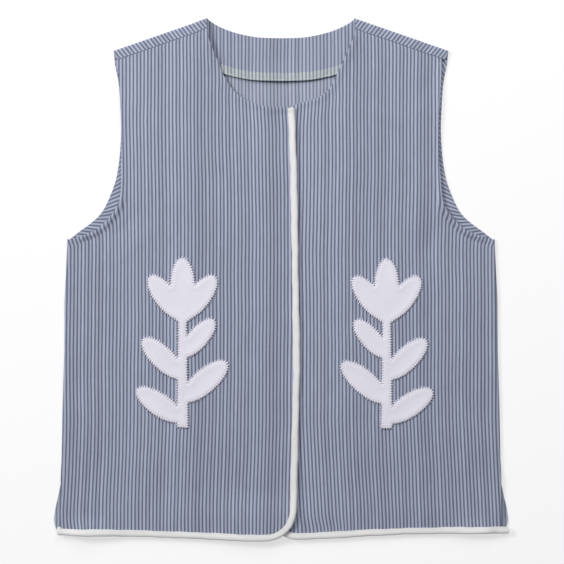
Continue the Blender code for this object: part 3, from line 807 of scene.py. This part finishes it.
def weave_in(tree, shader, colour, shades, yarns, reliefs):
    """Shades the colour by the summed values, and adds the weave's relief with the others."""
    shade = 1.0
    for value in shades:
        shade = calculate(tree, "ADD", value, shade)
    shaded = add_node(tree, "VectorMath", {0: colour, "Scale": shade}, operation="SCALE")
    tree.links.new(shaded.outputs[0], shader.inputs["Base Color"])
    warp, weft = (
        calculate(tree, "SINE", calculate(tree, "MULTIPLY", way, 2 * math.pi / yarn))
        for way, yarn in zip(grain_axes(tree), yarns)
    )
    relief = calculate(tree, "MULTIPLY", calculate(tree, "MULTIPLY", warp, weft), WEAVE_RELIEF)
    for value in reliefs:
        relief = calculate(tree, "ADD", relief, value)
    inputs = {"Height": relief, "Strength": BUMP_STRENGTH, "Distance": BUMP_DEPTH}
    tree.links.new(add_node(tree, "Bump", inputs).outputs[0], shader.inputs["Normal"])


def striped_material(name, dark_colour, light_colour):
    """Cotton woven in lengthwise stripes, with uneven yarns."""
    material, tree, shader = plain_material(name, *STRIPED_FINISH)
    moved = calculate(tree, "ADD", noise(tree, STRIPE_DRIFT), noise(tree, STRIPE_SHAKE))
    place = calculate(tree, "ADD", grain_axes(tree)[0], moved)
    count = calculate(tree, "DIVIDE", place, STRIPE_PITCH)
    phase = calculate(tree, "FRACT", count)
    to_edge = calculate(tree, "ABSOLUTE", calculate(tree, "SUBTRACT", phase, 0.5))
    limits = {"Value": to_edge, "From Min": STRIPE_EDGE[0], "From Max": STRIPE_EDGE[1]}
    dark = add_node(tree, "MapRange", limits, interpolation_type="SMOOTHSTEP").outputs[0]
    stripe = calculate(tree, "FLOOR", count)
    own = add_node(tree, "TexWhiteNoise", {"W": stripe}, noise_dimensions="1D").outputs[0]
    colours = {0: dark, 6: (*light_colour, 1), 7: (*dark_colour, 1)}
    colour = add_node(tree, "Mix", colours, data_type="RGBA").outputs[2]
    shades = [noise(tree, row) for row in STRIPED_SHADES] + [centred(tree, own, STRIPE_OWN)]
    groove = calculate(tree, "MULTIPLY", dark, DARK_RELIEF)
    weave_in(tree, shader, colour, shades, STRIPED_YARNS, (groove, noise(tree, STRIPED_SLUB)))
    return material


def plain_cloth_material(name, colour, roughness, mottle):
    """Plain woven cotton, a little uneven."""
    material, tree, shader = plain_material(name, roughness, PLAIN_SHEEN)
    shades = [noise(tree, (*row, mottle)) for row in PLAIN_SHADES]
    weave_in(tree, shader, colour, shades, PLAIN_YARNS, (noise(tree, PLAIN_SLUB),))
    return material


STRIPED = striped_material("striped_cloth", STRIPE_DARK, STRIPE_LIGHT)
STRIPED_INSIDE = striped_material("striped_cloth_inside", INSIDE_DARK, INSIDE_LIGHT)
STRIPED_FACING = striped_material("striped_cloth_facing", FACING_DARK, FACING_LIGHT)
TAPE_CLOTH = striped_material("tape_cloth", TAPE_DARK, TAPE_LIGHT)
CREAM_CLOTH = plain_cloth_material("cream_cloth", CREAM, *CREAM_FINISH)
WHITE_CLOTH = plain_cloth_material("white_cloth", WHITE, *WHITE_FINISH)


def plan_to_cloth(height, out_z=1.0, front=None):
    """How a flat piece's plan points become points, outward directions and grain."""

    def place(plan):
        x, y = plan.T
        points = np.column_stack([x, y, height(x, y)])
        grain = np.column_stack([stripe_place(front, x, y), y]) if front else plan
        return points, np.tile((0.0, 0.0, out_z), (len(plan), 1)), grain

    return place


def roll_share(y):
    """How far the side seam is closed: fully above the vent, and not at all in it."""
    return blend((y - VENT) / VENT_EASE)


SIDE_ROLL = ROLL * math.pi / 2 - GAP / 2


def side_roll(sign, y, reach, level, turn):
    """A row of the cloth past the side's flat part. turn is 1 upwards, or -1 downwards."""
    share = np.maximum(roll_share(y), LEAST_ROLL)
    angle = share * reach / ROLL
    across = ROLL / share * np.sin(angle)
    lift = ROLL / share * (1 - np.cos(angle))
    points = np.column_stack([sign * (side_line(y) + across), y, level + turn * lift])
    out = np.column_stack([sign * np.sin(angle), 0 * y, -turn * np.cos(angle)])
    return points, out, np.column_stack([sign * (side_line(y) + reach), y])


def bound_edge(front):
    """The outer edge of a front's binding, from the neck down, round the corner, to the side."""
    sign = SIGN[front]
    edge_x = FRONT_EDGE[0][1]
    turn = np.array((edge_x - CORNER, hem_line(front, edge_x - CORNER) + CORNER))
    heights = np.array((NECK_AT_EDGE[front],) + EDGE_HEIGHTS)
    straight = np.column_stack([look_up(FRONT_EDGE, heights), heights])
    angles = -math.pi / 2 * np.linspace(0, 1, CORNER_PARTS + 1)
    corner = turn + CORNER * np.column_stack([np.cos(angles), np.sin(angles)])
    x = np.array(HEM_STATIONS + (-float(side_line(BINDING)),))
    hem = np.column_stack([x, hem_line(front, x)])
    line = smooth_line(np.vstack([straight, corner, hem]))
    return flipped(even_line(line, step=BINDING_MESH), -sign)


def front_outline(front):
    """The plan outline of a front's flat part, and how many points its first stretches have."""
    sign = SIGN[front]
    bound = shifted(bound_edge(front), sign * LAYER)
    heights = np.arange(BINDING, UNDERARM, EDGE_MESH)
    side = np.column_stack([sign * side_line(heights), heights])
    armhole = even_line(CUT_EDGES[front]["armhole"])
    neckline = even_line(CUT_EDGES[front]["neck"])
    shoulder = even_line(np.vstack([armhole[-1], neckline[0]]))
    outline = np.vstack([bound, side, armhole, shoulder[1:-1], neckline[:-1]])
    return outline, len(bound), len(side)


def make_front(front):
    sign = SIGN[front]
    outline, bound_count, side_count = front_outline(front)
    lines = [even_line(shifted(bound_edge(front), sign * BINDING)[2:-2])]
    for edge in CUT_EDGES[front].values():
        for inward in HEM_LINES:
            line = shifted(even_line(edge), sign * inward)
            lines.append(line[HEM_LINE_TRIM:-HEM_LINE_TRIM])
    cloth = Cloth()
    loose = field(outline, lines, FRONT_MESH)
    numbers = cloth.net(outline, lines, loose, plan_to_cloth(HEIGHT[front], front=front))
    side = slice(bound_count - 1, bound_count + side_count + 1)
    y = outline[side, 1]
    x = sign * side_line(y)
    moved = np.column_stack([stripe_place(front, x, y) - x, 0 * y])
    rows = []
    for i in range(1, ROLL_STEPS + 1):
        reach = SIDE_ROLL * i / ROLL_STEPS
        points, out, grain = side_roll(sign, y, reach, HEIGHT[front](x, y), -1)
        rows.append((points, out, grain + moved))
    cloth.strip(rows, numbers[side])
    return cloth.solid("front_" + front, "striped_cloth", STRIPED)


def back_reach(y):
    """How far the back's cloth goes past its flat part at the side."""
    free = look_up(BACK_VENT + ((VENT, float(side_line(VENT)) + SIDE_ROLL),), y) - side_line(y)
    return np.where(y >= VENT, SIDE_ROLL, free)


def back_armhole():
    """The back's armhole on the +X side, from the shoulder's flat part to the side's."""
    top = tuple(below_shoulder(SHOULDER_LENGTH, ROLL_OUT)[0])
    rows = [(x, y) for y, x in BACK_ARMHOLE]
    return smooth_line([top] + rows + [(float(side_line(UNDERARM)), UNDERARM)])


def back_neckline(corner, distance):
    """The back's neckline on the +X side, from its middle to a place below the shoulder."""
    return smooth_line(BACK_NECK + (tuple(below_shoulder(corner, distance)[0]),))


def shoulder_row(sign, count, reach, share):
    """A row of the back's cloth over the shoulder, at a reach past its flat part."""
    angle = min(reach / ROLL, math.pi)
    beyond = max(0.0, reach - ROLL * math.pi)
    across = ROLL * math.sin(angle) - beyond
    level = ROLL_CENTRE - ROLL * math.cos(angle)
    neck = mix(NECK_CORNER, along_shoulder(BAND_AT_NECK, SHOULDER_BAND), share)
    tip = SHOULDER_LENGTH - TIP_DRAW * share
    stations = np.linspace(tip, neck, count)
    plan = flipped(below_shoulder(stations, ROLL_OUT - across), sign)
    rise = ridge(*plan.T, *NECK_RISES["left" if sign > 0 else "right"]) * (1 - math.cos(angle)) / 2
    points = np.column_stack([plan, level + rise])
    out = (sign * OVER[0] * math.sin(angle), OVER[1] * math.sin(angle), -math.cos(angle))
    return points, np.tile(out, (count, 1)), flipped(below_shoulder(stations, ROLL_OUT - reach), sign)


def make_back():
    hem_y = BACK_HEM + LAYER
    heights = np.concatenate([[hem_y], np.arange(BACK_HEM + BINDING, UNDERARM, EDGE_MESH)])
    side = np.column_stack([side_line(heights), heights])
    armhole = even_line(back_armhole()[::-1])
    count = round(SHOULDER_LENGTH / EDGE_MESH) + 1
    shoulder = below_shoulder(np.linspace(SHOULDER_LENGTH, NECK_CORNER, count), ROLL_OUT)
    neck = even_line(back_neckline(NECK_CORNER, ROLL_OUT)[::-1])
    half = np.vstack([side, armhole, shoulder[1:-1], neck])
    other = flipped(half[:-1][::-1], -1)
    edge = float(side_line(hem_y))
    hem_x = np.linspace(-edge, edge, round(2 * edge / BACK_MESH) + 1)[1:-1]
    hem = np.column_stack([hem_x, np.full(len(hem_x), hem_y)])
    outline = np.vstack([half, other, hem])
    lines = [
        np.column_stack([hem_x, np.full(len(hem_x), y)])
        for y in np.linspace(BACK_HEM + BINDING, BACK_RISE_FROM, BACK_HEM_LINES)
    ]
    cloth = Cloth()
    loose = field(outline, lines, BACK_MESH)
    numbers = cloth.net(outline, lines, loose, plan_to_cloth(back_height, -1.0))
    side_count = len(side) + 1
    last = len(half) + len(other)
    total = ROLL * math.pi + SHOULDER_BAND - ROLL_OUT
    reaches = [ROLL * math.pi * i / SHOULDER_ROLL_STEPS for i in range(1, SHOULDER_ROLL_STEPS + 1)]
    reaches += list(np.linspace(reaches[-1], total, BAND_PARTS + 1)[1:])
    for sign in (1, -1):
        run = numbers[:side_count] if sign > 0 else numbers[last - side_count : last][::-1]
        y = outline[:side_count, 1]
        level = back_height(sign * side_line(y), y)
        rows = [
            side_roll(sign, y, back_reach(y) * i / ROLL_STEPS, level, 1)
            for i in range(1, ROLL_STEPS + 1)
        ]
        cloth.strip(rows, run)
        start = len(side) + len(armhole) - 1
        run = numbers[start : start + count]
        if sign < 0:
            start = last - 1 - start
            run = numbers[start - count + 1 : start + 1][::-1]
        cloth.strip([shoulder_row(sign, count, r, r / total) for r in reaches], run)
    return cloth.solid("back", "striped_cloth", STRIPED, STRIPED_INSIDE)


def facing_curl(x, y):
    """Rise of the back neck facing towards the open part of its lower edge."""
    from_edge = y - look_up(FACING_EDGE, np.abs(x))
    middle = np.cos(np.clip(x / FACING_CURL_HALF, -1, 1) * math.pi / 2) ** 2
    return FACING_CURL * middle * blend(1 - from_edge / FACING_CURL_DEPTH)


def make_band(name, slot, material, level, one_side, other_side, parts, bias=False):
    """A band of cloth between two lines with as many points each."""
    cloth = Cloth()
    place = plan_to_cloth(lambda x, y: level + facing_curl(x, y))
    along = lengths_along((one_side + other_side) / 2)
    width = np.linalg.norm(other_side - one_side, axis=1)
    rows = []
    for share in np.linspace(0, 1, parts + 1):
        points, out, grain = place(mix(one_side, other_side, share))
        if bias:
            grain = np.column_stack([along + width * share, along - width * share]) / math.sqrt(2)
        rows.append((points, out, grain))
    cloth.strip(rows)
    return cloth.solid(name, slot, material)


def both_halves(half):
    """A line from the middle to the +X side, made whole."""
    return np.vstack([flipped(half[1:][::-1], -1), half])


def facing_lines():
    """The neck facing's upper and lower edges."""
    lower_end = tuple(below_shoulder(FACING_AT_SHOULDER, FACING_STOP)[0])
    lower = even_line(smooth_line(FACING_EDGE + (lower_end,)))
    upper = even_line(back_neckline(FACING_CORNER, FACING_STOP), count=len(lower) - 1)
    return both_halves(upper - np.array((0, GAP))), both_halves(lower)


def make_neck_facing():
    looks = ("striped_cloth", STRIPED_FACING)
    return make_band("neck_facing", *looks, FACING_LEVEL, *facing_lines(), FACING_PARTS)


def make_neck_tape():
    """The tape along the facing's lower edge, cut off level with the facing's ends."""
    lower = facing_lines()[1]
    upper = shifted(lower, TAPE)
    end = below_shoulder(FACING_AT_SHOULDER - TAPE, FACING_STOP)
    upper[[0, -1]] = np.vstack([flipped(end, -1), end])
    looks = ("cream_binding", TAPE_CLOTH)
    return make_band("neck_tape", *looks, TAPE_LEVEL, upper, lower, NARROW_PARTS)


def make_armhole_facing(side):
    top = tuple(below_shoulder(SHOULDER_LENGTH, FACING_STOP)[0])
    rows = [(x, y) for y, x in BACK_ARMHOLE]
    end = (float(side_line(UNDERARM)) - ARMHOLE_END[0], UNDERARM + ARMHOLE_END[1])
    line = even_line(smooth_line([top] + rows + [end]))
    edges = [flipped(shifted(line, -distance), SIGN[side]) for distance in (GAP, ARMHOLE_FACING)]
    looks = ("striped_cloth", STRIPED)
    return make_band("armhole_facing_" + side, *looks, FACING_LEVEL, *edges, NARROW_PARTS, bias=True)


def uneven(s, phase):
    """A hand-made waver along a seam, from about -1 to 1."""
    return sum(rise * np.sin(s / length + turn * phase) for rise, length, turn in WAVERS)


def channel_rows():
    """The binding's middle line: distance in from the outer edge, height, and way outwards."""
    centre = CLOTH / 2 + LAYER
    flats = np.linspace(BINDING - EDGE_BULGE, centre, BINDING_FLATS + 1)[:-1]
    turn = np.linspace(math.pi / 2, -math.pi / 2, BINDING_TURNS + 1)
    rows = [(w, LAYER, 0.0, 1.0) for w in flats]
    rows += [(centre - LAYER * c, LAYER * s, -c, s) for c, s in zip(np.cos(turn), np.sin(turn))]
    return rows + [(w, -LAYER, 0.0, -1.0) for w in flats[::-1]]


def make_binding(name, line, side, height, phase):
    """A folded binding swept along its outer edge. side is 1 where the cloth is to its left."""
    ways = left_of(line) * side
    s = lengths_along(line)
    cloth = Cloth()
    rows = []
    across = 0.0
    for inward, rise, out_in, out_z in channel_rows():
        share = inward / BINDING
        puff = BINDING_PUFF * math.sin(math.pi * min(1.0, inward / SEAM_IN)) * (1 if rise > 0 else 0)
        waver = BINDING_INNER_WAVER * uneven(s, phase) * share
        waver = waver + BINDING_OUTER_WAVER * uneven(s, phase + OUTER_PHASE) * (1 - share)
        plan = line + ways * (inward + waver)[:, None]
        draw = BINDING_END_ROUND * abs(2 * share - 1) ** BINDING_END_POWER
        plan[0] += unit(line[1] - line[0]) * draw
        plan[-1] -= unit(line[-1] - line[-2]) * draw
        puff = puff * (1 + BINDING_PUFF_WAVER * uneven(s, phase + PUFF_PHASE))
        z = height(*(line + ways * np.maximum(inward, LAYER)).T) + rise + puff
        out = np.column_stack([ways * out_in, 0 * s + out_z])
        across = across + BINDING_GRAIN
        rows.append((np.column_stack([plan, z]), out, np.column_stack([0 * s + across, s])))
    cloth.strip(rows)
    return cloth.solid(name, "cream_binding", CREAM_CLOTH)


def make_front_binding(front):
    sign = SIGN[front]
    line = bound_edge(front)
    reach = float(side_line(BINDING)) + SIDE_ROLL
    ends = [(sign * (reach + share * HEM_END_REACH[front]), line[-1, 1]) for share in (0, 0.5, 1)]
    line = np.vstack([line, ends])
    return make_binding("binding_front_" + front, line, sign, HEIGHT[front], FRONT_PHASE + sign)


def make_back_binding():
    edge = float(side_line(BACK_HEM + LAYER))
    end = edge + float(back_reach(BACK_HEM + LAYER))
    x = np.linspace(-end, end, round(2 * end / BINDING_MESH) + 1)
    drop = BACK_END_DROP * blend(1 - (end - np.abs(x)) / BACK_END_LENGTH)
    line = np.column_stack([x, BACK_HEM - drop])
    return make_binding("binding_back", line, 1, back_height, BACK_PHASE)


def lens(foot, lean, length, width):
    """A leaf or petal: two arcs between its foot and its tip, as a closed outline."""
    way = np.array((math.sin(lean), math.cos(lean)))
    side = np.array((way[1], -way[0]))
    angles = math.pi * np.arange(2 * LENS_STEPS) / LENS_STEPS
    along = length * (1 - np.cos(angles)) / 2
    return foot + np.outer(along, way) + np.outer(width / 2 * np.sin(angles), side)


def sprig_shapes(front):
    """The outlines that make up a sprig, which overlap. The two sprigs mirror each other."""
    low = STEM_FOOT_WIDTH / 2
    high = STEM_TOP_WIDTH / 2
    shapes = [np.array([(-low, 0), (low, 0), (high, STEM_HEIGHT), (-high, STEM_HEIGHT)], float)]
    for height, lean, length, width in LEAVES + PETALS:
        shapes.append(lens(np.array((0, height)), lean, length, width))
    angles = 2 * math.pi * np.arange(CUP_SIDES) / CUP_SIDES
    circle = np.column_stack([np.cos(angles), np.sin(angles)]) * CUP_RADIUS
    shapes.append(circle + (0, STEM_HEIGHT))
    return [flipped(shape, SIGN[front]) + SPRIG_FOOT[front] for shape in shapes]


def sprig_outline(front):
    """The closed line round a whole sprig."""
    corners = []
    faces = []
    for shape in sprig_shapes(front):
        faces.append(list(range(len(corners), len(corners) + len(shape))))
        corners += [Vector(p) for p in shape]
    flat = delaunay_2d_cdt(corners, [], faces, 1, SPRIG_MERGE)
    points, triangles = np.array(flat[0]), flat[2]
    uses = {}
    for t in triangles:
        for a, b in zip(t, list(t[1:]) + [t[0]]):
            uses.setdefault(frozenset((a, b)), []).append((a, b))
    following = dict(ways[0] for ways in uses.values() if len(ways) == 1)
    start = min(following)
    loop = [start]
    while following[loop[-1]] != start:
        loop.append(following[loop[-1]])
    line = even_line(points[loop + [start]], step=SPRIG_MESH / 2)[:-1]
    for _ in range(SPRIG_SMOOTHINGS):
        line = (np.roll(line, 1, axis=0) + 2 * line + np.roll(line, -1, axis=0)) / 4
    return even_line(closed(line), step=SPRIG_MESH)[:-1]


def make_sprig(front):
    """The sprig's cloth, a gap above its front, a little fuller away from its edge."""
    outline = sprig_outline(front)

    def height(x, y):
        inward = distance_to(np.column_stack([x, y]), closed(outline))
        full = SPRIG_PUFF * blend(inward / SPRIG_PUFF_WIDTH)
        full -= SPRIG_SINK * blend((inward - SPRIG_PUFF_WIDTH) / SPRIG_SINK_WIDTH)
        return HEIGHT[front](x, y) + LAYER + full

    cloth = Cloth()
    cloth.net(outline, [], field(outline, [], SPRIG_MESH), plan_to_cloth(height))
    return cloth.solid("applique_" + front, "white_applique", WHITE_CLOTH)


def make_stitches(name, slot, material, paths, radius):
    """Short rounded threads, each along its own path of points, as one object."""
    count, stations = paths.shape[:2]
    along = unit(np.gradient(paths, axis=1))
    side = unit(np.cross(along, (0.0, 0.0, 1.0)))
    up = np.cross(side, along)
    taper = radius * np.sqrt(np.sin(np.linspace(THREAD_END, math.pi - THREAD_END, stations)))
    turns = 2 * math.pi * np.arange(THREAD_SIDES) / THREAD_SIDES
    ring = side[:, :, None] * np.cos(turns)[:, None] + up[:, :, None] * np.sin(turns)[:, None]
    points = (paths[:, :, None] + ring * taper[None, :, None, None]).reshape(-1, 3)
    faces = []
    for n in range(count):
        first = n * stations * THREAD_SIDES
        last = first + (stations - 1) * THREAD_SIDES
        for start in range(first, last, THREAD_SIDES):
            for i in range(THREAD_SIDES):
                j = (i + 1) % THREAD_SIDES
                after = start + THREAD_SIDES
                faces.append([start + i, start + j, after + j, after + i])
        faces.append([first + i for i in range(THREAD_SIDES)])
        faces.append([last + i for i in range(THREAD_SIDES)])
    item = make_object(name, slot, material, points, faces, points[:, :2])
    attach(item, "root")
    return item


def make_sprig_stitches(front):
    """Overcast stitches all round a sprig, across its edge and into the front."""
    line = even_line(closed(sprig_outline(front)), step=WHIP_PITCH)
    out = -left_of(line)
    if inside(line[:1] + out[:1], line)[0]:
        out = -out
    waver = uneven(lengths_along(line) * WHIP_WAVER, WHIP_PHASE + SIGN[front])
    slant = np.column_stack([-out[:, 1], out[:, 0]]) * WHIP_SLANT
    rows = []
    for reach, rise in WHIP_PATH:
        plan = line + (out + slant) * (reach * (1 + WHIP_UNEVEN * waver))[:, None]
        rows.append(np.column_stack([plan, HEIGHT[front](*plan.T) + rise]))
    paths = np.stack(rows, axis=1)[:-1]
    return make_stitches("stitches_sprig_" + front, "white_applique", WHITE_CLOTH, paths, WHIP_RADIUS)


def make_seam_stitches(name, line, middle):
    """A row of running stitches along a line. middle gives the height of the cloth's middle."""
    s = lengths_along(line)
    starts = np.arange(SEAM_PITCH, s[-1] - SEAM_PITCH, SEAM_PITCH)
    rows = []
    for share, sink in SEAM_PATH:
        at = starts + share * SEAM_STITCH
        plan = np.column_stack([np.interp(at, s, column) for column in line.T])
        rows.append(np.column_stack([plan, middle(*plan.T) + CLOTH / 2 - sink * SEAM_RADIUS]))
    return make_stitches(name, "cream_binding", CREAM_CLOTH, np.stack(rows, axis=1), SEAM_RADIUS)


def make_binding_stitches(front):
    """The stitches along the inner part of a front's binding."""
    line = shifted(bound_edge(front), SIGN[front] * SEAM_IN)
    name = "stitches_binding_" + front
    return make_seam_stitches(name, line, lambda x, y: HEIGHT[front](x, y) + LAYER)


def make_tape_stitches():
    """The stitches near the tape's lower edge."""
    line = shifted(facing_lines()[1], TAPE_SEAM)[2:-2]
    return make_seam_stitches("stitches_tape", line, lambda x, y: TAPE_LEVEL + facing_curl(x, y))


made = {}
made["back"] = make_back()
made["neck_facing"] = make_neck_facing()
made["neck_tape"] = make_neck_tape()
for wearer_side in SIGN:
    made["armhole_facing_" + wearer_side] = make_armhole_facing(wearer_side)
    made["front_" + wearer_side] = make_front(wearer_side)
    made["binding_front_" + wearer_side] = make_front_binding(wearer_side)
    made["applique_" + wearer_side] = make_sprig(wearer_side)
made["binding_back"] = make_back_binding()
sewn = {"neck_tape": [make_tape_stitches()]}
for wearer_side in SIGN:
    sewn["applique_" + wearer_side] = [make_sprig_stitches(wearer_side)]
    sewn["binding_front_" + wearer_side] = [make_binding_stitches(wearer_side)]
for node, (width, length, share, below) in CUTS.items():
    item = made[node]
    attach(item, "root")
    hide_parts(node)
    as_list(sewn.get(node, []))

floor_data = bpy.data.meshes.new("floor")
ways = ((-1, -1), (1, -1), (1, 1), (-1, 1))
floor_data.from_pydata([(x * FLOOR_HALF, y * FLOOR_HALF, 0) for x, y in ways], [], [(0, 1, 2, 3)])
floor = put_in_scene("floor", floor_data)
floor_material, _, floor_shader = plain_material("floor", FLOOR_ROUGHNESS, 0.0)
floor_shader.inputs["Base Color"].default_value = (*FLOOR, 1)
floor_shader.inputs["Emission Color"].default_value = (*FLOOR_GLOW, 1)
floor_shader.inputs["Emission Strength"].default_value = 1.0
floor_data.materials.append(floor_material)

for name, (place, size, power) in LAMPS.items():
    lamp_data = bpy.data.lights.new(name, "AREA")
    lamp_data.shape = "DISK"
    lamp_data.size = size
    lamp_data.energy = power
    lamp_data.color = LAMP_COLOUR
    lamp = put_in_scene(name, lamp_data)
    lamp.location = place
    lamp.rotation_mode = "QUATERNION"
    lamp.rotation_quaternion = (-Vector(place)).to_track_quat("-Z", "Y")

world = bpy.data.worlds.new("world")
world.use_nodes = True
fill = world.node_tree.nodes["Background"].inputs
fill["Color"].default_value = (*FILL_COLOUR, 1)
fill["Strength"].default_value = FILL_STRENGTH
bpy.context.scene.world = world

camera_data = bpy.data.cameras.new("camera")
camera_data.sensor_width = SENSOR
camera_data.lens = SENSOR * (CAMERA_HEIGHT - VIEW_LEVEL) / VIEW_WIDTH
camera = put_in_scene("camera", camera_data)
camera.location = (*CAMERA_MIDDLE, CAMERA_HEIGHT)
bpy.context.scene.camera = camera
bpy.context.scene.view_settings.view_transform = "Standard"
